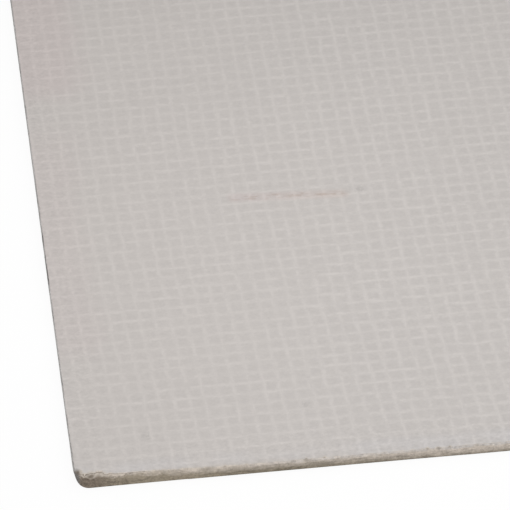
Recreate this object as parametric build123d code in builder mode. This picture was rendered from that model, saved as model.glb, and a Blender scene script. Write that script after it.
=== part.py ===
"""Racking board: one flat sheet of magnesium oxide board, sawn to size and lying face up.

Millimetres, +Z up. The origin is the middle of the back face, so the board lies on Z = 0.
X runs across the width and Y along the length. The near end is the one at -Y.
The sheet is a single casting. Its near left corner, at -X and -Y, has been knocked round,
and the arris beside that corner is broken and rubbed away.
"""

import os

from build123d import *

# Sheet
board_width = 1200.0
board_length = 2400.0
board_thickness = 9.0

# Outline and arrises
sound_corner_radius = 1.5
arris_radius = 0.6

# Knock of the near left corner: how far it slants along the left edge and across the near end, and its round
knock_along = 18.0
knock_across = 3.5
knocked_corner_radius = 9.0

# Break at the knocked corner: how far it runs along the near end, back over the face and down the edge
break_run = 48.0
break_back = 12.0
break_drop = 2.8

# Rubbed stretch of the near arris, from the same corner
rub_run = 130.0
rub_back = 3.5
rub_drop = 2.5


def worn_facet(run, back, drop):
    """Plane across the near left corner of the face, with its normal towards the material that is gone."""
    corner = Vector(-board_width / 2, -board_length / 2, board_thickness)
    along_end = corner + Vector(run, 0, 0)
    over_face = corner + Vector(0, back, 0)
    down_edge = corner - Vector(0, 0, drop)
    outwards = (along_end - over_face).cross(down_edge - over_face)
    if outwards.dot(corner - over_face) < 0:
        outwards = -outwards
    return Plane(origin=over_face, x_dir=along_end - over_face, z_dir=outwards)


with BuildPart() as racking_board:
    with BuildSketch() as outline:
        Rectangle(board_width, board_length)
        near_corners = outline.vertices().sort_by(Axis.Y)[:2]
        knocked_corner = near_corners.sort_by(Axis.X)[0]
        left_edge = outline.edges().sort_by(Axis.X)[0]
        chamfer(knocked_corner, length=knock_along, length2=knock_across, reference=left_edge)
        knocked_tip = outline.vertices().sort_by(Axis.Y)[:2].sort_by(Axis.X)[0]
        fillet(knocked_tip, radius=knocked_corner_radius)
        sound_corners = outline.vertices().filter_by(lambda corner: corner.X > 0 or corner.Y > 0)
        fillet(sound_corners, radius=sound_corner_radius)
    extrude(amount=board_thickness)

    # A light break on every arris of the face and of the back
    upwards = racking_board.faces().sort_by(Axis.Z)
    arrises = upwards[0].edges() + upwards[-1].edges()
    fillet(arrises, radius=arris_radius)

    # Wear at the knocked corner
    split(bisect_by=worn_facet(rub_run, rub_back, rub_drop), keep=Keep.BOTTOM)
    split(bisect_by=worn_facet(break_run, break_back, break_drop), keep=Keep.BOTTOM)

racking_board.part.label = "racking_board"

os.makedirs("parts", exist_ok=True)
export_step(racking_board.part, "parts/racking_board.step")
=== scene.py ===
"""Racking board: the looks of one magnesium oxide sheet, with its net face, sawn edges and knocked corner.

Metres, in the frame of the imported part. The board lies face up on Z = 0, with X across its width and Y along
its length. The near end is at -Y, and the knocked corner is the near left one, at -X and -Y.
"""

import math

import bmesh
import bpy
from mathutils import Matrix, Vector, noise


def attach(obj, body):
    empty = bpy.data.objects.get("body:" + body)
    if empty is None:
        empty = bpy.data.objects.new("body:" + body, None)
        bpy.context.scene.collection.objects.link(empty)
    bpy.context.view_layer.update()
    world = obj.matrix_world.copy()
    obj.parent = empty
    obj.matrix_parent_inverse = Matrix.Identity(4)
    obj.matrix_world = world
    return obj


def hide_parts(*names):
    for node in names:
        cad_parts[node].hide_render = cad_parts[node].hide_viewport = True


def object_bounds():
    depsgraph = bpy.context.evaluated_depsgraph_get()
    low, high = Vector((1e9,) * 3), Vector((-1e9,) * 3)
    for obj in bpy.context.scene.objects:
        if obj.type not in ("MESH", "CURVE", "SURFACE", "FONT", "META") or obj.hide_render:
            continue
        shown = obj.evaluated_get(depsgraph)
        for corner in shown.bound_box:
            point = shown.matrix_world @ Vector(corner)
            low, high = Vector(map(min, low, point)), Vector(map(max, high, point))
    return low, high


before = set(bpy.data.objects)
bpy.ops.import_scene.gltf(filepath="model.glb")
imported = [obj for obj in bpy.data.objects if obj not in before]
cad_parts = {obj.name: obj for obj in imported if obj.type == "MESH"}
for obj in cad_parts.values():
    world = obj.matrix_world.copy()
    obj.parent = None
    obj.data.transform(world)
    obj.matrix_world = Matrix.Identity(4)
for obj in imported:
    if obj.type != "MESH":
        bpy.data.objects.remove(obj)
solid_low, solid_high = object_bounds()

# Sheet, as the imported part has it
half_width = (solid_high.x - solid_low.x) / 2
half_length = (solid_high.y - solid_low.y) / 2
thickness = solid_high.z - solid_low.z
near_left = Vector((-half_width, -half_length, thickness))

# Rounds of the knocked corner and of the sound ones
knocked_radius = 0.011
sound_radius = 0.0015
knocked_steps = 28
sound_steps = 4

# Worn facets at the knocked corner: run along the near end, back over the face, drop down the edge
rubbed_facet = (0.170, 0.0060, 0.0032)
broken_facet = (0.058, 0.0091, 0.0026)

# Bite out of the skin beside the corner: its middle along the near end, half its run, back and drop
bite_along = 0.014
bite_half = 0.012
bite_back = 0.0105
bite_drop = 0.0024

# Spacing of the points round the outline: by the knocked corner, along the near end, along the left edge, and
# elsewhere
corner_step = 0.0006
near_end_step = 0.0009
left_edge_step = 0.002
other_step = 0.008

# Where each closer spacing ends, from the knocked corner
corner_reach = 0.07
near_end_reach = 0.36
left_edge_reach = 0.56

# Rows up the edges, rings in from the outline on the face and on the back, where the net's cells begin, and
# how near two places count as one
edge_rows = 14
face_rings = (0.0007, 0.0015, 0.0024, 0.0034, 0.0045, 0.0057, 0.007, 0.0084, 0.0099, 0.0115)
back_rings = (0.0012, 0.006)
cells_begin = 0.016
same_place = 0.00001

# Glass net under the skin of the face: pitch across and along, slant of its warp, first yarns from the corner
# in pitches, and the dish of each opening
warp_pitch = 0.01125
weft_pitch = 0.01044
warp_slant = math.radians(2.2)
first_warp = 0.908
first_weft = 0.797
opening_dish = 0.00012

# Sway of the warp to the right, along the board and across it: depth, length of a wave, where it stands still
sway_along = (0.0056, 1.178, 0.225)
sway_across = (0.0055, 0.884, 0.169)

# Spare cells past the sides of the face: for the slant and the rounding, and for the sway
spare_cells = 3
spare_columns = 3

# Large plain cells that close the back
back_cell = 0.06

# Knock that takes the left edge further in than the round of the corner: how far in, how far along at the
# back, how much shorter it gets up the edge, and how soon it is deepest
knock_depth = 0.0014
knock_run = 0.0185
knock_slope = 1.04
knock_lean = 0.8

# Hollow of the saw cut at the near end: its depth, its middle from the left edge, and half its run
cut_hollow = 0.0004
cut_middle = 0.145
cut_half = 0.14

# Roughness of the sawn edges, torn along the plies, all inwards and none at the back
saw_depth = 0.0003
saw_grain = 260.0
tear_depth = 0.0007
tear_grain = Vector((55.0, 55.0, 320.0))
tear_shift = Vector((7, 3, 1))
plain_rows = 0.002

# Wear of the arrises: rounds of the face at the ends and the long sides, how they vary, and the back's round
end_round = 0.0023
side_round = 0.0008
round_least = 0.8
round_waver = 0.5
back_round = 0.0003

# Chips of the arrises, crumbs on a break, waver of its rim, and the loss at which the core is bare
arris_chips = 0.0022
chip_grain = 110.0
chip_onset = 0.2
crumb_depth = 0.0009
crumb_grain = 330.0
rim_waver = 0.0005
rim_grain = 95.0
bare_depth = 0.0005

# Torn core at the knocked corner: its hollows and creases, how far they go from the corner, the loss at which
# they are whole, their pull downwards against outwards, and how much they are smoothed
hollow_grain = Vector((130.0, 130.0, 210.0))
hollow_depth = 0.0012
crease_grain = Vector((150.0, 150.0, 330.0))
crease_turns = 3
crease_width = 0.31
crease_depth = 0.0009
torn_whole = 0.020
torn_end = 0.080
deep_break = 0.0020
torn_pull = Vector((0, 0, 0.5))
torn_smoothing = 0.5

# Ledge where the skin and its net have come off the core: how deep it lies, its step, and its shadow's width
ledge_depth = 0.0006
ledge_step = 0.0003
ledge_shadow = 0.00016

# Small pits at the knocked corner and the near arris: along from the left edge, back from the near end, and
# radius, with the depth and the painted shade of all of them
arris_pits = ((0.0022, 0.0084, 0.0055), (0.107, 0.0014, 0.0018), (0.122, 0.0010, 0.0016),
              (0.165, 0.0016, 0.0016), (0.178, 0.0014, 0.0018), (0.252, 0.0010, 0.0020),
              (0.260, 0.0004, 0.0028), (0.268, 0.0012, 0.0018))
pit_depth = 0.0007
pit_shade = 0.55

# Baked picture: the clear rim at its sides, and how far up it each side of the board begins and ends
baked_rim = 0.003
baked_strips = {"back": (0.004, 0.043), "right": (0.047, 0.059), "far": (0.063, 0.075),
                "left": (0.079, 0.095), "near": (0.099, 0.146), "face": (0.15, 0.996)}

# In the looks below, a range says where a change begins and ends, then its first and last value if these
# aren't 0 and 1. Places are from the near left corner. A grain is how many blots there are to a metre.

# Net in the skin: grain and reach of its stray over the board, and of its waver from cell to cell
stray_grain = 6.0
stray_reach = (0.003, 0.0024, 0.0)
waver_grain = 75.0
waver_reach = (0.003, 0.0022, 0.0)

# Yarns, in shares of a pitch: their ragged edge, the ranges from a yarn to its opening, and half their width
ragged_grain = 260.0
ragged_edge = 0.44
opening_across = (0.02, 0.3)
opening_along = (0.03, 0.32)
warp_half = 0.215
weft_half = 0.235

# Cover on the net: how clear it leaves the openings, and where the skin has sunk over the yarns too
cover_grain = 80.0
cover_range = (0.3, 0.7, 0.75, 1.15)
sunk_grain = 150.0
sunk_range = (0.56, 0.7, 0.0, 0.7)

# Fibres of the yarns: grain across them and along them, and the range in which they show
fibre_across = 300.0
fibre_along = 65.0
fibre_range = (0.35, 0.65)

# Skin: its colours by the left edge and further in, and how clear the net is and how rough the rims are
skin_by_left = (0.582, 0.546, 0.522, 1)
skin_further_in = (0.582, 0.549, 0.527, 1)
skin_range = (0.0, 0.3)
clear_range = (0.1, 0.3, 0.95, 1.13)
rough_by_left = (0.035, 0.01, 0.0, 0.16)
rough_by_near = (0.04, 0.01, 0.0, 0.16)

# Shades of the skin: grains, and how deep each goes
cloud_grain = 9.0
mottle_grain = 330.0
mottle_shape = (1.0, 1.4, 1.0)
speck_grain = 1100.0
opening_shade = 0.041
yarn_shade = 0.055
cloud_shade = 0.035
streak_shade = 0.075
mottle_shade = 0.16
speck_shade = 0.08

# Scuff on the face: its ends, how far back it begins, how it leans, and how it comes and goes along its run
scuff_from = 0.142
scuff_to = 0.234
scuff_back = 0.2757
scuff_lean = -0.062
scuff_comes = (scuff_from - 0.003, scuff_from + 0.003)
scuff_goes = (scuff_to + 0.002, scuff_to - 0.01)

# Its haze, dashes and scratch: how they fade off its line, their grains, and where the scratch begins
haze_fade = (0.0065, 0.0025)
dash_fade = (0.0045, 0.001)
dash_grain = (110.0, 430.0, 1.0)
dash_range = (0.51, 0.63)
scratch_fade = (0.0018, 0.0004)
scratch_comes = (0.175, 0.2)
scratch_grain = 190.0
scratch_range = (0.36, 0.56)
haze_left = (1.01, 0.977, 0.983, 1)
haze_right = (1.004, 0.966, 0.952, 1)
scuff_tint = (0.885, 0.838, 0.805, 1)

# Crushed cells of the net: places along and back, reach, and the painted shade in their creases
crushed_cells = ((0.240, 0.2735), (0.1715, 0.054), (0.0545, 0.038))
crushed_reach = 0.006
crushed_grain = 420.0
crushed_range = (0.42, 0.62)
crushed_shade_tint = (0.88, 0.88, 0.88, 1)

# Pink stains by the left edge: where each comes and goes back from the near end, its reach in from the left
# with its strength, and how far that wanders
patch_grain = 24.0
stains = (((0.11, 0.14), (0.39, 0.33), (0.06, 0.03, 0.0, 0.5)),
          ((0.39, 0.42), (0.63, 0.57), (0.075, 0.045, 0.0, 1.0)))
stain_wander = 0.03
stain_tint = (0.997, 0.963, 0.972, 1)

# Cool patches along the near end, and a handled stretch of its arris: how they fade back, where they show,
# and their tints
margin_fade = (0.018, 0.009)
margin_patches = (0.35, 0.6)
margin_tint = (0.995, 1.005, 1.025, 1)
handled_fade = (0.006, 0.0015)
handled_goes = (0.22, 0.1)
handled_tint = (0.955, 0.935, 0.905, 1)

# Core: grain of its plies and blotches, and how far they raise and lower the brown
ply_grain = (75.0, 75.0, 520.0)
blotch_grain = (105.0, 105.0, 330.0)
ply_lift = 0.004
blotch_lift = 0.0046
lift_middle = 0.0043

# The brown low on the sawn edges is partly the core's colour and partly painted shade towards the floor
# Height of the brown along the near end, high at the corner and low further on, and of the blend to pale
# above it
brown_by_corner = (0.03, 0.145, 0.0063, 0.0)
brown_further_on = (0.15, 0.3, 0.0, -0.0033)
blend_height = (0.06, 0.12, 0.0039, 0.0095)

# Browns along the near end from the corner on, each with the range in which it takes over
corner_brown = (0.245, 0.197, 0.153, 1)
next_browns = (((0.012, 0.032), (0.345, 0.292, 0.222, 1)),
               ((0.085, 0.125), (0.255, 0.217, 0.161, 1)),
               ((0.19, 0.25), (0.215, 0.182, 0.136, 1)))

# Pale core above the brown, partly a painted highlight where the edge turns up to the face, and greyer just
# under the skin past the corner
pale_core = (0.625, 0.55, 0.478, 1)
grey_height = (0.0065, 0.009)
grey_comes = (0.1, 0.18)
grey_range = (0.18, 0.26)
greyed_left = (0.68, 0.627, 0.581, 1)
greyed_right = (0.66, 0.62, 0.595, 1)

# Cream rim of a break, partly a painted highlight: the loss at which it ends, by the corner and further on,
# and at which it is whole
cream_ends = (0.02, 0.045, 0.0018, 0.0012)
cream_whole = 0.0004
cream_core = (0.66, 0.592, 0.52, 1)

# Trim of the long edges: how far in it goes, where it turns darker grey by the knocked corner, and how it is
# soiled by handling
trim_ends = 0.0045
trim_whole = 0.0025
darker_trim_range = (knock_run - 0.002, knock_run + 0.001)
handling_grain = 55.0
handling_range = (0.4, 0.62)
soiled_comes = (0.165, 0.195)
soiled_goes = (0.3, 0.26)
handling_least = 0.35
clean_trim = (0.63, 0.607, 0.59, 1)
soiled_trim = (0.16, 0.152, 0.146, 1)
darker_trim_by_knock = (0.22, 0.21, 0.205, 1)

# Painted shade in the tear's crevices and pits, painted shadow under its ledge, and dark blotches low down by
# the corner
crevice_shade_range = (0.0, 0.9)
painted_crevice_shade = (0.19, 0.155, 0.122, 1)
ledge_plies = (0.35, 0.55)
painted_ledge_shadow = (0.27, 0.22, 0.18, 1)
low_dark_grain = 300.0
low_dark_range = (0.5, 0.6)
low_dark_goes = (0.06, 0.02)
low_dark_height = (0.006, 0.003, 0.0, 0.6)
low_dark_brown = (0.12, 0.1, 0.072, 1)

# Grain of the bare core, its shades with that of the plies, and how raggedly the skin ends on it
torn_grain = 420.0
torn_shade = 1.07
ply_shade = 0.625
core_shade = 0.045
skin_ragged = 0.9
skin_ends = (0.1, 0.9)

# Gloss of the board, and the fine relief of its skin and of its core
dull_range = (0.2, 0.8, 0.78, 0.95)
specular_level = 0.3
skin_relief = 0.00006
core_relief = 0.0016
core_sunk = 0.00085

# Picture: its side in pixels, the focal length in those pixels, and the view from the fitted camera
picture_side = 510
focal_pixels = 5000.0
sensor_side = 36.0
view_azimuth = math.radians(-7.02)
view_elevation = math.radians(44.07)
view_distance = 3.699
view_aim = Vector((-0.4457, -0.98753, thickness))

# Floor: its reach, the gap under the board, how much of the shadow shows, and the light it sends back
floor_reach = 20.0
floor_gap = 0.0001
floor_shadow = 0.09
floor_grey = 0.8

# Light: even light of the room, and a broad soft fill from the front
room_light = 0.666
fill_power = 0.773
fill_spread = math.radians(60)
fill_from = Vector((-0.35, -1.0, 0.38))

# Soft boxes over the board: name, place, width, length and power
soft_boxes = (("near_box", Vector((-0.387, -1.073, 0.309)), 0.63, 0.63, 0.518),
              ("far_box", Vector((0.2, 0.5, 0.609)), 1.4, 1.8, 2.7))


def inside(x, y):
    """How far a point lies inside the outline, and the level direction out of the board there."""
    radius = knocked_radius if x < 0 and y < 0 else sound_radius
    past_x = abs(x) - (half_width - radius)
    past_y = abs(y) - (half_length - radius)
    if past_x > 0 and past_y > 0:
        reach = math.hypot(past_x, past_y)
        return radius - reach, Vector((math.copysign(past_x, x), math.copysign(past_y, y), 0)) / reach
    if past_x > past_y:
        return radius - past_x, Vector((math.copysign(1, x), 0, 0))
    return radius - past_y, Vector((0, math.copysign(1, y), 0))


def point_spacing(middle):
    """Spacing of the points on a stretch of the outline, by the middle of that stretch."""
    from_left = middle.x + half_width
    from_near = middle.y + half_length
    if from_near < knocked_radius / 2 and from_left < corner_reach:
        return corner_step
    if from_near < knocked_radius / 2 and from_left < near_end_reach:
        return near_end_step
    if from_left < half_width and from_near < left_edge_reach:
        return left_edge_step
    return other_step


def furthest_edge(sheet, axis):
    """The long straight edge of the outline that lies furthest to the left, or nearest."""
    def rank(edge):
        return edge.verts[0].co[axis] + edge.verts[1].co[axis] - edge.calc_length()
    return min(sheet.edges, key=rank)


def saw_outline(sheet):
    """The back of the board as one face, with its corners rounded and its edges divided."""
    bmesh.ops.create_grid(sheet, x_segments=1, y_segments=1, size=1.0,
                          matrix=Matrix.Diagonal((half_width, half_length, 1, 1)))
    for corner in sheet.verts[:]:
        knocked = corner.co.x < 0 and corner.co.y < 0
        bmesh.ops.bevel(sheet, geom=[corner], affect="VERTICES", offset_type="OFFSET",
                        profile=0.5, material=-1,
                        offset=knocked_radius if knocked else sound_radius,
                        segments=knocked_steps if knocked else sound_steps)
    left_edge = furthest_edge(sheet, 0)
    near_end = furthest_edge(sheet, 1)
    for edge, stretches in ((left_edge, (left_edge_reach,)),
                            (near_end, (corner_reach, near_end_reach - corner_reach))):
        start = min(edge.verts, key=lambda vert: vert.co.x + vert.co.y)
        for stretch in stretches:
            start = bmesh.utils.edge_split(edge, start, stretch / edge.calc_length())[1]
    for edge in sheet.edges[:]:
        step = point_spacing((edge.verts[0].co + edge.verts[1].co) / 2)
        cuts = math.ceil(edge.calc_length() / step) - 1
        if cuts > 0:
            bmesh.ops.subdivide_edges(sheet, edges=[edge], cuts=cuts)


def raise_edges(sheet):
    """Extrudes the back up to the face and divides the edges into rows. Returns the back and the face."""
    back = sheet.faces[:][0]
    raised = bmesh.ops.extrude_face_region(sheet, geom=[back])["geom"]
    face = next(part for part in raised if isinstance(part, bmesh.types.BMFace))
    bmesh.ops.translate(sheet, vec=(0, 0, thickness), verts=face.verts[:])
    back = max((other for other in sheet.faces if other != face), key=lambda other: len(other.verts))
    upright = [edge for edge in sheet.edges if abs(edge.verts[0].co.z - edge.verts[1].co.z) > thickness / 2]
    bmesh.ops.subdivide_edges(sheet, edges=upright, cuts=edge_rows - 1, use_grid_fill=True)
    return back, face


def ring_in(sheet, face, rings):
    """Rings that follow the outline, and an opening inside the last one."""
    reached = 0.0
    for ring in rings:
        bmesh.ops.inset_region(sheet, faces=[face], thickness=0)
        shrink_x = (half_width - ring) / (half_width - reached)
        shrink_y = (half_length - ring) / (half_length - reached)
        bmesh.ops.scale(sheet, vec=(shrink_x, shrink_y, 1), verts=face.verts[:])
        reached = ring
    bmesh.ops.delete(sheet, geom=[face], context="FACES_ONLY")


def close_with_cells(sheet, cells, level, dish):
    """Fills the opening with a grid of cells, cut to a rectangle inside the rings and each dished."""
    for side in (Vector((1, 0, 0)), Vector((-1, 0, 0)), Vector((0, 1, 0)), Vector((0, -1, 0))):
        cut = Vector((side.x * (half_width - cells_begin), side.y * (half_length - cells_begin), 0))
        everything = cells.verts[:] + cells.edges[:] + cells.faces[:]
        bmesh.ops.bisect_plane(cells, geom=everything, plane_co=cut, plane_no=side, clear_outer=True)
    if dish > 0:
        bmesh.ops.poke(cells, faces=cells.faces[:], offset=-dish, center_mode="MEAN")
    filling = bpy.data.meshes.new("filling")
    cells.to_mesh(filling)
    cells.free()
    sheet.from_mesh(filling)
    bpy.data.meshes.remove(filling)
    open_edges = [edge for edge in sheet.edges
                  if edge.is_boundary and abs(edge.verts[0].co.z - level) < thickness / 4]
    bmesh.ops.triangle_fill(sheet, edges=open_edges, use_beauty=True, normal=(0, 0, 1))


def plain_cells():
    """Large plain cells for the back."""
    cells = bmesh.new()
    bmesh.ops.create_grid(cells, x_segments=round(2 * half_width / back_cell),
                          y_segments=round(2 * half_length / back_cell), size=0.5,
                          matrix=Matrix.Diagonal((2 * half_width, 2 * half_length, 1, 1)))
    return cells


def warp_sway(from_left, from_near):
    """How far the warp of the net has swayed to the right at a place on the face."""
    swayed = 0.0
    for (depth, wave, still), at in ((sway_along, from_near), (sway_across, from_left)):
        swayed += depth * (1 - math.cos(2 * math.pi * (at - still) / wave))
    return swayed


def net_placed(across, along):
    """Places a grid of net openings on the face, with its warp slanted and its first yarns in place."""
    first_column = math.floor(-first_warp) - 1 - spare_columns
    first_row = math.floor(-first_weft) - 1
    count = Matrix.Translation((across / 2 + first_column, along / 2 + first_row, 0)) \
        @ Matrix.Diagonal((across, along, 1, 1))
    slanted = Matrix(((warp_pitch / math.cos(warp_slant), -weft_pitch * math.tan(warp_slant), 0, 0),
                      (0, weft_pitch, 0, 0),
                      (0, 0, 1, 0),
                      (0, 0, 0, 1)))
    offset = Matrix.Translation((first_warp, first_weft, 0))
    return Matrix.Translation(near_left) @ slanted @ offset @ count


def net_cells():
    """One cell for each opening of the net, slanted and swayed as its warp is."""
    slant_columns = 2 * half_length * math.tan(warp_slant) / warp_pitch
    across = math.ceil(2 * half_width / warp_pitch + slant_columns) + spare_cells + 2 * spare_columns
    along = math.ceil(2 * half_length / weft_pitch) + spare_cells
    cells = bmesh.new()
    bmesh.ops.create_grid(cells, x_segments=across, y_segments=along, size=0.5,
                          matrix=net_placed(across, along))
    for vert in cells.verts:
        vert.co.x += warp_sway(vert.co.x + half_width, vert.co.y + half_length)
    return cells


def facet_plane(run, back, drop):
    """A point on a worn facet at the knocked corner, and the facet's normal, out of the board."""
    along_end = near_left + Vector((run, 0, 0))
    over_face = near_left + Vector((0, back, 0))
    down_edge = near_left - Vector((0, 0, drop))
    normal = (along_end - over_face).cross(down_edge - over_face).normalized()
    if normal.dot(near_left - over_face) < 0:
        normal = -normal
    return over_face, normal


def corner_breaks():
    """The facets and the bite at the knocked corner: a point, the normal, and the rise to the bite's ends."""
    bite_edge = near_left + Vector((0, bite_back, 0))
    bite_normal = Vector((0, -bite_drop, bite_back)).normalized()
    bite_rise = bite_normal.dot(near_left - bite_edge)
    return ((*facet_plane(*rubbed_facet), 0.0),
            (*facet_plane(*broken_facet), 0.0),
            (bite_edge, bite_normal, bite_rise))


def roughen_cut(vert, start, out):
    """Roughens a point of a sawn edge and tears it along the plies."""
    sawn = 0.5 + 0.5 * noise.noise(start * saw_grain)
    torn = max(0.0, noise.noise(start * tear_grain + tear_shift))
    whole = min(1.0, start.z / plain_rows)
    vert.co -= out * (saw_depth * sawn + tear_depth * torn) * whole


def round_over(vert, depth, out, below, up, radius):
    """Brings a point near an arris onto a quarter round between the flat and the edge."""
    short = radius - max(0.0, depth)
    low = radius - below
    if short <= 0 or low <= 0:
        return
    reach = math.hypot(short, low)
    if reach > radius:
        vert.co += (Vector((0, 0, -up)) * low - out * short) * (1 - radius / reach)


def wear_arrises(vert, start, depth, out):
    """Rounds and chips the arris of the face, most at the ends, and eases that of the back."""
    level = Vector((start.x, start.y, 0))
    chips = max(0.0, noise.noise(level * chip_grain) - chip_onset)
    worn = side_round + (end_round - side_round) * abs(out.y)
    face_radius = worn * (round_least + round_waver * noise.noise(level * saw_grain)) + arris_chips * chips
    round_over(vert, depth, out, thickness - start.z, 1, face_radius)
    round_over(vert, depth, out, start.z, -1, back_round)


def dig_pits(vert, start):
    """Sinks a point that lies in one of the small pits. Returns the shade painted in the pit there."""
    darkening = 0.0
    for along, back, radius in arris_pits:
        pit = near_left + Vector((along, back, 0))
        near = 1 - (start - pit).length / radius
        if near > 0:
            vert.co.z -= pit_depth * near
            # Painted shade in the pit
            darkening = pit_shade * near
    return darkening


def knock_off(vert, start, breaks):
    """Takes a point that stands proud of a break down to the deepest one, and leaves crumbs on it."""
    crumbs = crumb_depth * noise.noise(start * crumb_grain)
    waver = rim_waver * noise.noise(Vector((start.x, start.y, 0)) * rim_grain)
    from_bite = (start.x - near_left.x - bite_along) / bite_half
    taken = [(normal, normal.dot(vert.co - point) + waver - rise * from_bite ** 2)
             for point, normal, rise in breaks]
    normal, proud = max(taken, key=lambda one: one[1])
    if proud > 0:
        vert.co -= normal * max(0.0, proud + crumbs * min(1.0, proud / crumb_depth))


def tear_core(vert, start, out, deep):
    """Tears hollows and creases into a point of the bare core. Returns how deep it lies in a crease."""
    hollow = max(0.0, noise.noise(start * hollow_grain))
    crease = max(0.0, 1 - noise.turbulence(start * crease_grain, crease_turns, True) / crease_width)
    whole = min(1.0, start.z / plain_rows)
    vert.co -= (out + torn_pull) * deep * whole * (hollow_depth * hollow + crease_depth * crease)
    return deep * crease


def hollow_cut(vert, start):
    """Takes a point by the near end into the slight hollow of the saw cut."""
    from_middle = (start.x + half_width - cut_middle) / cut_half
    if start.y < 0 and abs(from_middle) < 1:
        fade = max(0.0, 1 - (start.y + half_length) / cells_begin)
        vert.co.y += cut_hollow * (1 - from_middle ** 4) * fade


def knock_in(vert, start):
    """Takes a point by the left edge further in where the corner was knocked."""
    from_corner = max(0.0, start.y + half_length + knock_slope * start.z) / knock_run
    if start.x < 0 and from_corner < 1:
        fade = max(0.0, 1 - (start.x + half_width) / cells_begin)
        vert.co.x += knock_depth * math.sin(math.pi * from_corner ** knock_lean) * fade


def wear(sheet):
    """Roughens the sawn edges, wears the arrises and breaks the knocked corner.

    Marks on each point how bare the core is there, how much was lost, and how deep it lies in a crevice or
    pit, which sets the painted shade there.
    """
    bare, lost, crevice_shade = [sheet.verts.layers.float.new(name) for name in ("bare", "lost", "crevice_shade")]
    breaks = corner_breaks()
    torn_verts = []
    for vert in sheet.verts:
        depth, out = inside(vert.co.x, vert.co.y)
        if depth > cells_begin - same_place:
            continue
        start = vert.co.copy()
        on_edge = depth < face_rings[0] / 2
        if on_edge:
            roughen_cut(vert, start, out)
        wear_arrises(vert, start, depth, out)
        vert[crevice_shade] = dig_pits(vert, start)
        knock_off(vert, start, breaks)
        drop = (vert.co - start).length
        vert[bare] = 1.0 if on_edge else min(1.0, drop / bare_depth)
        vert[lost] = max(drop, deep_break) if on_edge else drop
        away = math.hypot(start.x - near_left.x, start.y - near_left.y)
        torn_share = min(1.0, max(0.0, (torn_end - away) / (torn_end - torn_whole))) * vert[bare]
        if torn_share > 0:
            torn_verts.append(vert)
            creased = tear_core(vert, start, out, torn_share * min(1.0, vert[lost] / deep_break))
            vert[crevice_shade] = max(vert[crevice_shade], creased)
            if not on_edge and drop > ledge_depth:
                vert.co.z -= torn_share * ledge_step * min(1.0, drop / ledge_depth - 1)
        hollow_cut(vert, start)
        knock_in(vert, start)
    bmesh.ops.smooth_vert(sheet, verts=torn_verts, factor=torn_smoothing,
                          use_axis_x=True, use_axis_y=True, use_axis_z=True)


def side_of_board(normal):
    """The side of the board that a face of the mesh belongs to, by its normal."""
    if abs(normal.z) > 0.5:
        return "face" if normal.z > 0 else "back"
    if abs(normal.x) > abs(normal.y):
        return "right" if normal.x > 0 else "left"
    return "far" if normal.y > 0 else "near"


def unfold(sheet):
    """Lays the sides of the board out in the baked picture, with the most room for the face."""
    sheet.normal_update()
    layout = sheet.loops.layers.uv.new("OFBake")
    for part in sheet.faces:
        side = side_of_board(part.normal)
        low, high = baked_strips[side]
        for loop in part.loops:
            across = (half_width - loop.vert.co.x) / (2 * half_width)
            along = (loop.vert.co.y + half_length) / (2 * half_length)
            up = loop.vert.co.z / thickness
            sideways = across if side in ("near", "far") else along
            upwards = across if side in ("face", "back") else up
            loop[layout].uv = (baked_rim + (1 - 2 * baked_rim) * sideways, low + (high - low) * upwards)


def make_board():
    """The whole board as one closed mesh."""
    sheet = bmesh.new()
    saw_outline(sheet)
    back, face = raise_edges(sheet)
    ring_in(sheet, back, back_rings)
    close_with_cells(sheet, plain_cells(), 0.0, 0.0)
    ring_in(sheet, face, face_rings)
    close_with_cells(sheet, net_cells(), thickness, opening_dish)
    wear(sheet)
    bmesh.ops.recalc_face_normals(sheet, faces=sheet.faces[:])
    unfold(sheet)
    for part in sheet.faces:
        part.smooth = True
    mesh = bpy.data.meshes.new("racking_board_sheet")
    sheet.to_mesh(mesh)
    sheet.free()
    board = bpy.data.objects.new("racking_board_sheet", mesh)
    bpy.context.scene.collection.objects.link(board)
    return board


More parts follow.
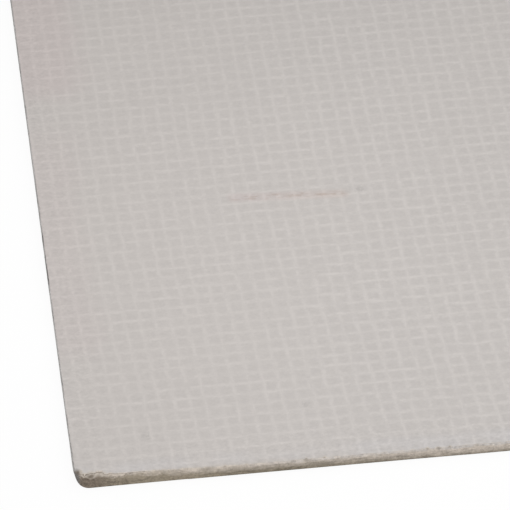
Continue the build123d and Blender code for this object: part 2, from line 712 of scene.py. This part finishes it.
class Finish:
    """The nodes of one material. Each call adds a node and gives the socket that holds its result."""

    def __init__(self, name):
        self.material = bpy.data.materials.new(name)
        self.material.use_nodes = True
        self.tree = self.material.node_tree
        self.shader = self.tree.nodes["Principled BSDF"]

    def node(self, kind, inputs, **settings):
        made = self.tree.nodes.new(kind)
        for name, value in settings.items():
            setattr(made, name, value)
        for name, value in inputs.items():
            if isinstance(value, bpy.types.NodeSocket):
                self.tree.links.new(value, made.inputs[name])
            else:
                made.inputs[name].default_value = value
        return made

    def place(self):
        return self.node("ShaderNodeTexCoord", {}).outputs["Object"]

    def mark(self, name):
        return self.node("ShaderNodeAttribute", {}, attribute_name=name).outputs["Fac"]

    def mapped(self, vector, location=(0, 0, 0), turn=0.0, scale=(1, 1, 1)):
        return self.node("ShaderNodeMapping", {"Vector": vector, "Location": location,
                                               "Rotation": (0, 0, turn), "Scale": scale}).outputs[0]

    def part_of(self, vector, axis):
        return self.node("ShaderNodeSeparateXYZ", {0: vector}).outputs[axis]

    def maths(self, operation, first, second=0.0, third=0.0):
        return self.node("ShaderNodeMath", {0: first, 1: second, 2: third}, operation=operation).outputs[0]

    def both(self, first, second):
        return self.maths("MULTIPLY", first, second)

    def vectors(self, operation, first, second):
        return self.node("ShaderNodeVectorMath", {0: first, 1: second}, operation=operation).outputs[0]

    def distance(self, first, second):
        made = self.node("ShaderNodeVectorMath", {0: first, 1: second}, operation="DISTANCE")
        return made.outputs["Value"]

    def ramp(self, value, low, high, to_low=0.0, to_high=1.0):
        return self.node("ShaderNodeMapRange", {"Value": value, "From Min": low, "From Max": high,
                                                "To Min": to_low, "To Max": to_high},
                         interpolation_type="SMOOTHSTEP").outputs[0]

    def grain(self, vector, scale, detail=2.0, rough=0.5, colour=False):
        made = self.node("ShaderNodeTexNoise", {"Vector": vector, "Scale": scale, "Detail": detail,
                                                "Roughness": rough})
        return made.outputs["Color" if colour else "Fac"]

    def drawn_grain(self, vector, scales, detail=2.0, rough=0.5):
        return self.grain(self.mapped(vector, scale=scales), 1.0, detail, rough)

    def blend(self, share, first, second, way="MIX"):
        made = self.node("ShaderNodeMix", {0: share, 6: first, 7: second}, data_type="RGBA", blend_type=way)
        return made.outputs[2]

    def tinted(self, share, colour, tint):
        return self.blend(share, colour, tint, "MULTIPLY")

    def shaded(self, colour, tone):
        grey = self.node("ShaderNodeCombineColor", {0: tone, 1: tone, 2: tone}).outputs[0]
        return self.tinted(1.0, colour, grey)

    def between(self, share, first, second):
        return self.node("ShaderNodeMix", {0: share, 2: first, 3: second}, data_type="FLOAT").outputs[0]


def net_laid(finish, place):
    """Places from the near left corner, strayed and wavered as the net was laid."""
    laid = place
    for grain, reach in ((stray_grain, stray_reach), (waver_grain, waver_reach)):
        off = finish.vectors("SUBTRACT", finish.grain(place, grain, 1.0, colour=True), (0.5, 0.5, 0.5))
        laid = finish.vectors("ADD", laid, finish.vectors("MULTIPLY", off, reach))
    return finish.mapped(laid, location=(half_width, half_length, 0))


def yarn_gaps(finish, place):
    """How far a place lies from the nearest warp and weft, in pitches, with their ragged edges."""
    from_corner = net_laid(finish, place)
    warp_count = finish.part_of(finish.mapped(from_corner, (-first_warp, 0, 0), -warp_slant,
                                              (1 / warp_pitch,) * 3), "X")
    for (depth, wave, still), axis in ((sway_along, "Y"), (sway_across, "X")):
        turn = finish.maths("MULTIPLY_ADD", finish.part_of(from_corner, axis), 2 * math.pi / wave,
                            -2 * math.pi * still / wave)
        swayed = finish.maths("MULTIPLY_ADD", finish.maths("COSINE", turn), -depth / warp_pitch,
                              depth / warp_pitch)
        warp_count = finish.maths("SUBTRACT", warp_count, swayed)
    weft_count = finish.part_of(finish.mapped(from_corner, (0, -first_weft, 0), 0.0,
                                              (1 / weft_pitch,) * 3), "Y")
    ragged = finish.maths("MULTIPLY_ADD", finish.grain(place, ragged_grain, 3.0, 0.6), ragged_edge,
                          -ragged_edge / 2)
    warp_gap = finish.maths("ADD", finish.maths("PINGPONG", warp_count, 0.5), ragged)
    weft_gap = finish.maths("SUBTRACT", finish.maths("PINGPONG", weft_count, 0.5), ragged)
    return warp_gap, weft_gap


def net_in_skin(finish, place):
    """The net under the skin: its openings, 0 on a yarn and 1 in a cell, its bright yarns, and a streak."""
    warp_gap, weft_gap = yarn_gaps(finish, place)
    covered = finish.ramp(finish.grain(place, cover_grain, 1.0), *cover_range)
    across = finish.ramp(warp_gap, *opening_across)
    along = finish.ramp(weft_gap, *opening_along)
    opening = finish.both(finish.both(across, along), covered)
    sunk = finish.ramp(finish.grain(place, sunk_grain, 2.0), *sunk_range)
    opening = finish.maths("MAXIMUM", opening, sunk)
    warp_fibre = finish.drawn_grain(place, (fibre_across, fibre_along, 1.0))
    weft_fibre = finish.drawn_grain(place, (fibre_along, fibre_across, 1.0))
    warp_yarn = finish.both(finish.ramp(warp_gap, warp_half, 0.0), finish.ramp(warp_fibre, *fibre_range))
    weft_yarn = finish.both(finish.ramp(weft_gap, weft_half, 0.0), finish.ramp(weft_fibre, *fibre_range))
    return opening, finish.maths("MAXIMUM", warp_yarn, weft_yarn), weft_fibre


def cast_skin(finish, place, along, back, net):
    """Pale skin of the face: darker in the openings of the net, paler on its yarns, cloudy and mottled."""
    opening, yarns, streak = net
    cloud = finish.grain(place, cloud_grain, 3.0)
    mottle = finish.grain(finish.mapped(place, scale=mottle_shape), mottle_grain, 3.0, 0.6)
    speck = finish.grain(place, speck_grain, 2.0)
    clearer = finish.ramp(along, *clear_range)
    tone = finish.maths("MULTIPLY_ADD", finish.both(opening, clearer), -opening_shade, 1.0)
    rougher = finish.maths("MAXIMUM", finish.ramp(along, *rough_by_left), finish.ramp(back, *rough_by_near))
    tone = finish.maths("MULTIPLY_ADD", finish.maths("SUBTRACT", mottle, 0.5), rougher, tone)
    for shade, depth in ((finish.both(yarns, clearer), yarn_shade), (cloud, cloud_shade),
                         (streak, streak_shade), (mottle, mottle_shade), (speck, speck_shade)):
        tone = finish.maths("MULTIPLY_ADD", shade, depth, finish.maths("SUBTRACT", tone, depth / 2))
    skin = finish.blend(finish.ramp(along, *skin_range), skin_by_left, skin_further_in)
    return finish.shaded(skin, tone)


def scuffed(finish, place, along, back, skin):
    """A reddish scuff on the skin: a faint haze, dashes, and a thin scratch on its right half."""
    run = finish.both(finish.ramp(along, *scuff_comes), finish.ramp(along, *scuff_goes))
    line = finish.maths("MULTIPLY_ADD", finish.maths("SUBTRACT", along, scuff_from), scuff_lean, scuff_back)
    off_line = finish.maths("ABSOLUTE", finish.maths("SUBTRACT", back, line))
    dashes = finish.both(finish.ramp(finish.drawn_grain(place, dash_grain), *dash_range),
                         finish.ramp(off_line, *dash_fade))
    scratch = finish.both(finish.ramp(off_line, *scratch_fade), finish.ramp(along, *scratch_comes))
    scratch = finish.both(scratch, finish.ramp(finish.grain(place, scratch_grain, 2.0), *scratch_range))
    haze = finish.both(run, finish.ramp(off_line, *haze_fade))
    haze_tint = finish.blend(finish.ramp(along, scuff_from, scuff_to), haze_left, haze_right)
    skin = finish.tinted(haze, skin, haze_tint)
    return finish.tinted(finish.both(run, finish.maths("MAXIMUM", dashes, scratch)), skin, scuff_tint)


def crushed(finish, place, from_corner, skin):
    """Painted shade in the creases of the crushed cells of the net."""
    creases = finish.ramp(finish.grain(place, crushed_grain, 3.0, 0.6), *crushed_range)
    for cell in crushed_cells:
        away = finish.distance(from_corner, (*cell, thickness))
        near = finish.ramp(away, crushed_reach, crushed_reach / 3)
        skin = finish.tinted(finish.both(near, creases), skin, crushed_shade_tint)
    return skin


def stained(finish, place, along, back, skin):
    """Pink stains by the left edge, cool patches along the near end, and the handled stretch of its arris."""
    patches = finish.grain(place, patch_grain, 2.0)
    wandering = finish.maths("MULTIPLY_ADD", patches, stain_wander, along)
    for comes, goes, reach in stains:
        stretch = finish.both(finish.ramp(back, *comes), finish.ramp(back, *goes))
        skin = finish.tinted(finish.both(stretch, finish.ramp(wandering, *reach)), skin, stain_tint)
    margin = finish.both(finish.ramp(back, *margin_fade), finish.ramp(patches, *margin_patches))
    skin = finish.tinted(margin, skin, margin_tint)
    handled = finish.both(finish.ramp(back, *handled_fade), finish.ramp(along, *handled_goes))
    return finish.tinted(handled, skin, handled_tint)


def layered_core_in_painted_light(finish, along, height, lost):
    """Tan core: brown towards the back, partly painted shade, pale above it and cream where little was lost,
    partly a painted highlight, and greyer under the skin.
    """
    brown_top = finish.maths("ADD", finish.ramp(along, *brown_by_corner),
                             finish.ramp(along, *brown_further_on))
    pale_foot = finish.maths("ADD", brown_top, finish.ramp(along, *blend_height))
    brown = corner_brown
    for change, next_brown in next_browns:
        brown = finish.blend(finish.ramp(along, *change), brown, next_brown)
    # Brown low down, partly painted shade, giving way to pale above, partly a painted highlight
    core = finish.blend(finish.ramp(height, brown_top, pale_foot), brown, pale_core)
    under_skin = finish.both(finish.ramp(height, *grey_height), finish.ramp(along, *grey_comes))
    greyed = finish.blend(finish.ramp(along, *grey_range), greyed_left, greyed_right)
    core = finish.blend(under_skin, core, greyed)
    # Cream where little was lost, partly a painted highlight on the rim
    return finish.blend(finish.ramp(lost, finish.ramp(along, *cream_ends), cream_whole), core, cream_core)


def trimmed(finish, place, back, core):
    """Grey trim of the long edges, soiled by handling, and darker grey by the knocked corner."""
    from_middle = finish.maths("ABSOLUTE", finish.part_of(place, "X"))
    share = finish.ramp(from_middle, half_width - trim_ends, half_width - trim_whole)
    past_knock = finish.maths("MULTIPLY_ADD", finish.part_of(place, "Z"), knock_slope, back)
    soiled = finish.both(finish.ramp(back, *soiled_comes), finish.ramp(back, *soiled_goes))
    handling = finish.both(finish.ramp(finish.grain(place, handling_grain, 3.0, 0.6), *handling_range),
                           finish.maths("MULTIPLY_ADD", soiled, 1 - handling_least, handling_least))
    trim = finish.blend(handling, clean_trim, soiled_trim)
    trim = finish.blend(finish.ramp(past_knock, *darker_trim_range), darker_trim_by_knock, trim)
    return finish.blend(share, core, trim)


def darkened_tear(finish, place, along, height, ply, lost, core):
    """Darks of the tear at the knocked corner: painted shade in its crevices and pits, painted shadow under
    its ledge, and dark blotches low down.
    """
    # Painted shade in the crevices and pits of the tear
    core = finish.blend(finish.ramp(finish.mark("crevice_shade"), *crevice_shade_range), core, painted_crevice_shade)
    # Painted shadow under the ledge where the skin came off
    off_ledge = finish.maths("ABSOLUTE", finish.maths("SUBTRACT", lost, ledge_depth))
    ledge = finish.both(finish.ramp(off_ledge, ledge_shadow, ledge_shadow / 4),
                        finish.ramp(along, torn_end, torn_whole))
    core = finish.blend(finish.both(ledge, finish.ramp(ply, *ledge_plies)), core, painted_ledge_shadow)
    # Dark blotches low down by the corner, darkest at the bottom
    darkening = finish.both(finish.ramp(finish.grain(place, low_dark_grain, 2.0), *low_dark_range),
                       finish.ramp(along, *low_dark_goes))
    return finish.blend(finish.both(darkening, finish.ramp(height, *low_dark_height)), core, low_dark_brown)


def sawn_core(finish, place, along, back, torn):
    """The core where it is sawn or broken, with the trim of the long edges, streaked along the plies."""
    ply = finish.drawn_grain(place, ply_grain, 3.0, 0.6)
    blotch = finish.drawn_grain(place, blotch_grain)
    height = finish.maths("MULTIPLY_ADD", ply, ply_lift,
                          finish.maths("SUBTRACT", finish.part_of(place, "Z"), lift_middle))
    height = finish.maths("MULTIPLY_ADD", blotch, blotch_lift, height)
    lost = finish.mark("lost")
    core = trimmed(finish, place, back, layered_core_in_painted_light(finish, along, height, lost))
    core = darkened_tear(finish, place, along, height, ply, lost, core)
    tone = finish.maths("MULTIPLY_ADD", torn, torn_shade,
                        finish.maths("MULTIPLY_ADD", ply, ply_shade, core_shade))
    return finish.shaded(core, tone)


def board_finish():
    """Pale cast skin with the net showing through it, and tan core where it is sawn or broken."""
    finish = Finish("cast_magnesia_board")
    place = finish.place()
    from_corner = finish.mapped(place, location=(half_width, half_length, 0))
    along = finish.part_of(from_corner, "X")
    back = finish.part_of(from_corner, "Y")
    opening, yarns, streak = net_in_skin(finish, place)
    skin = cast_skin(finish, place, along, back, (opening, yarns, streak))
    skin = scuffed(finish, place, along, back, skin)
    skin = crushed(finish, place, from_corner, skin)
    skin = stained(finish, place, along, back, skin)
    torn = finish.grain(place, torn_grain, 4.0, 0.65)
    core = sawn_core(finish, place, along, back, torn)
    ragged = finish.maths("SUBTRACT", finish.mark("bare"), skin_ragged / 2)
    broken = finish.ramp(finish.maths("MULTIPLY_ADD", torn, skin_ragged, ragged), *skin_ends)
    skin_height = finish.maths("MULTIPLY_ADD", opening, -skin_relief, finish.both(streak, skin_relief))
    core_height = finish.maths("MULTIPLY_ADD", torn, core_relief, -core_sunk)
    relief = finish.between(broken, skin_height, core_height)
    bump = finish.node("ShaderNodeBump", {"Height": relief, "Distance": 1.0, "Strength": 1.0})
    tree = finish.tree
    tree.links.new(finish.blend(broken, skin, core), finish.shader.inputs["Base Color"])
    tree.links.new(finish.ramp(streak, *dull_range), finish.shader.inputs["Roughness"])
    tree.links.new(bump.outputs[0], finish.shader.inputs["Normal"])
    finish.shader.inputs["Specular IOR Level"].default_value = specular_level
    return finish.material


def white_for_the_eye(tree):
    """A share that is 1 for camera, glossy and transmitted rays, and 0 for the rays that light the board."""
    path = tree.nodes.new("ShaderNodeLightPath")
    share = path.outputs["Is Camera Ray"]
    for ray in ("Is Glossy Ray", "Is Transmission Ray"):
        either = tree.nodes.new("ShaderNodeMath")
        either.operation = "MAXIMUM"
        tree.links.new(share, either.inputs[0])
        tree.links.new(path.outputs[ray], either.inputs[1])
        share = either.outputs[0]
    return share


def floor_paint():
    """Paint that lights the board as a pale floor does, and looks white with a faint shadow."""
    material = bpy.data.materials.new("pale_floor")
    material.use_nodes = True
    tree = material.node_tree
    tree.nodes.clear()
    paint = tree.nodes.new("ShaderNodeBsdfDiffuse")
    paint.inputs["Color"].default_value = (floor_grey, floor_grey, floor_grey, 1)
    seen = tree.nodes.new("ShaderNodeBsdfDiffuse")
    seen.inputs["Color"].default_value = (1, 1, 1, 1)
    glow = tree.nodes.new("ShaderNodeEmission")
    faint = tree.nodes.new("ShaderNodeMixShader")
    faint.inputs[0].default_value = floor_shadow
    tree.links.new(glow.outputs[0], faint.inputs[1])
    tree.links.new(seen.outputs[0], faint.inputs[2])
    both = tree.nodes.new("ShaderNodeMixShader")
    tree.links.new(white_for_the_eye(tree), both.inputs[0])
    tree.links.new(paint.outputs[0], both.inputs[1])
    tree.links.new(faint.outputs[0], both.inputs[2])
    out = tree.nodes.new("ShaderNodeOutputMaterial")
    tree.links.new(both.outputs[0], out.inputs["Surface"])
    return material


def white_floor():
    """A pale floor that looks white and keeps a faint shadow of the board."""
    plane = bmesh.new()
    bmesh.ops.create_grid(plane, x_segments=1, y_segments=1, size=floor_reach,
                          matrix=Matrix.Translation((0, 0, -floor_gap)))
    mesh = bpy.data.meshes.new("floor")
    plane.to_mesh(mesh)
    plane.free()
    floor = bpy.data.objects.new("floor", mesh)
    bpy.context.scene.collection.objects.link(floor)
    mesh.materials.append(floor_paint())


def room():
    """White surroundings that light the board evenly."""
    world = bpy.data.worlds.new("studio")
    bpy.context.scene.world = world
    world.use_nodes = True
    tree = world.node_tree
    background = tree.nodes["Background"]
    strength = tree.nodes.new("ShaderNodeMapRange")
    strength.inputs["To Min"].default_value = room_light
    strength.inputs["To Max"].default_value = 1.0
    tree.links.new(white_for_the_eye(tree), strength.inputs["Value"])
    background.inputs["Color"].default_value = (1, 1, 1, 1)
    tree.links.new(strength.outputs[0], background.inputs["Strength"])


def soft_light():
    """An even light all round, a soft fill from the front, and the soft boxes over the board."""
    room()
    fill = bpy.data.lights.new("front_fill", "SUN")
    fill.energy = fill_power
    fill.angle = fill_spread
    stand = bpy.data.objects.new("front_fill", fill)
    stand.rotation_mode = "QUATERNION"
    stand.rotation_quaternion = fill_from.to_track_quat("Z", "Y")
    bpy.context.scene.collection.objects.link(stand)
    for name, place, width, length, power in soft_boxes:
        lamp = bpy.data.lights.new(name, "AREA")
        lamp.shape = "RECTANGLE"
        lamp.size = width
        lamp.size_y = length
        lamp.energy = power
        holder = bpy.data.objects.new(name, lamp)
        holder.location = place
        holder.visible_camera = False
        bpy.context.scene.collection.objects.link(holder)


def photo_camera():
    """The camera at the photograph's angle."""
    lens = bpy.data.cameras.new("photo_camera")
    lens.sensor_width = sensor_side
    lens.lens = focal_pixels / picture_side * lens.sensor_width
    camera = bpy.data.objects.new("photo_camera", lens)
    level = math.cos(view_elevation)
    back = Vector((math.sin(view_azimuth) * level, -math.cos(view_azimuth) * level, math.sin(view_elevation)))
    camera.location = view_aim + back * view_distance
    camera.rotation_mode = "QUATERNION"
    camera.rotation_quaternion = (-back).to_track_quat("-Z", "Y")
    bpy.context.scene.collection.objects.link(camera)
    bpy.context.scene.camera = camera


bpy.context.scene.view_settings.view_transform = "Standard"
board = make_board()
board.data.materials.append(board_finish())
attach(board, "root")
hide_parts("racking_board")
white_floor()
soft_light()
photo_camera()
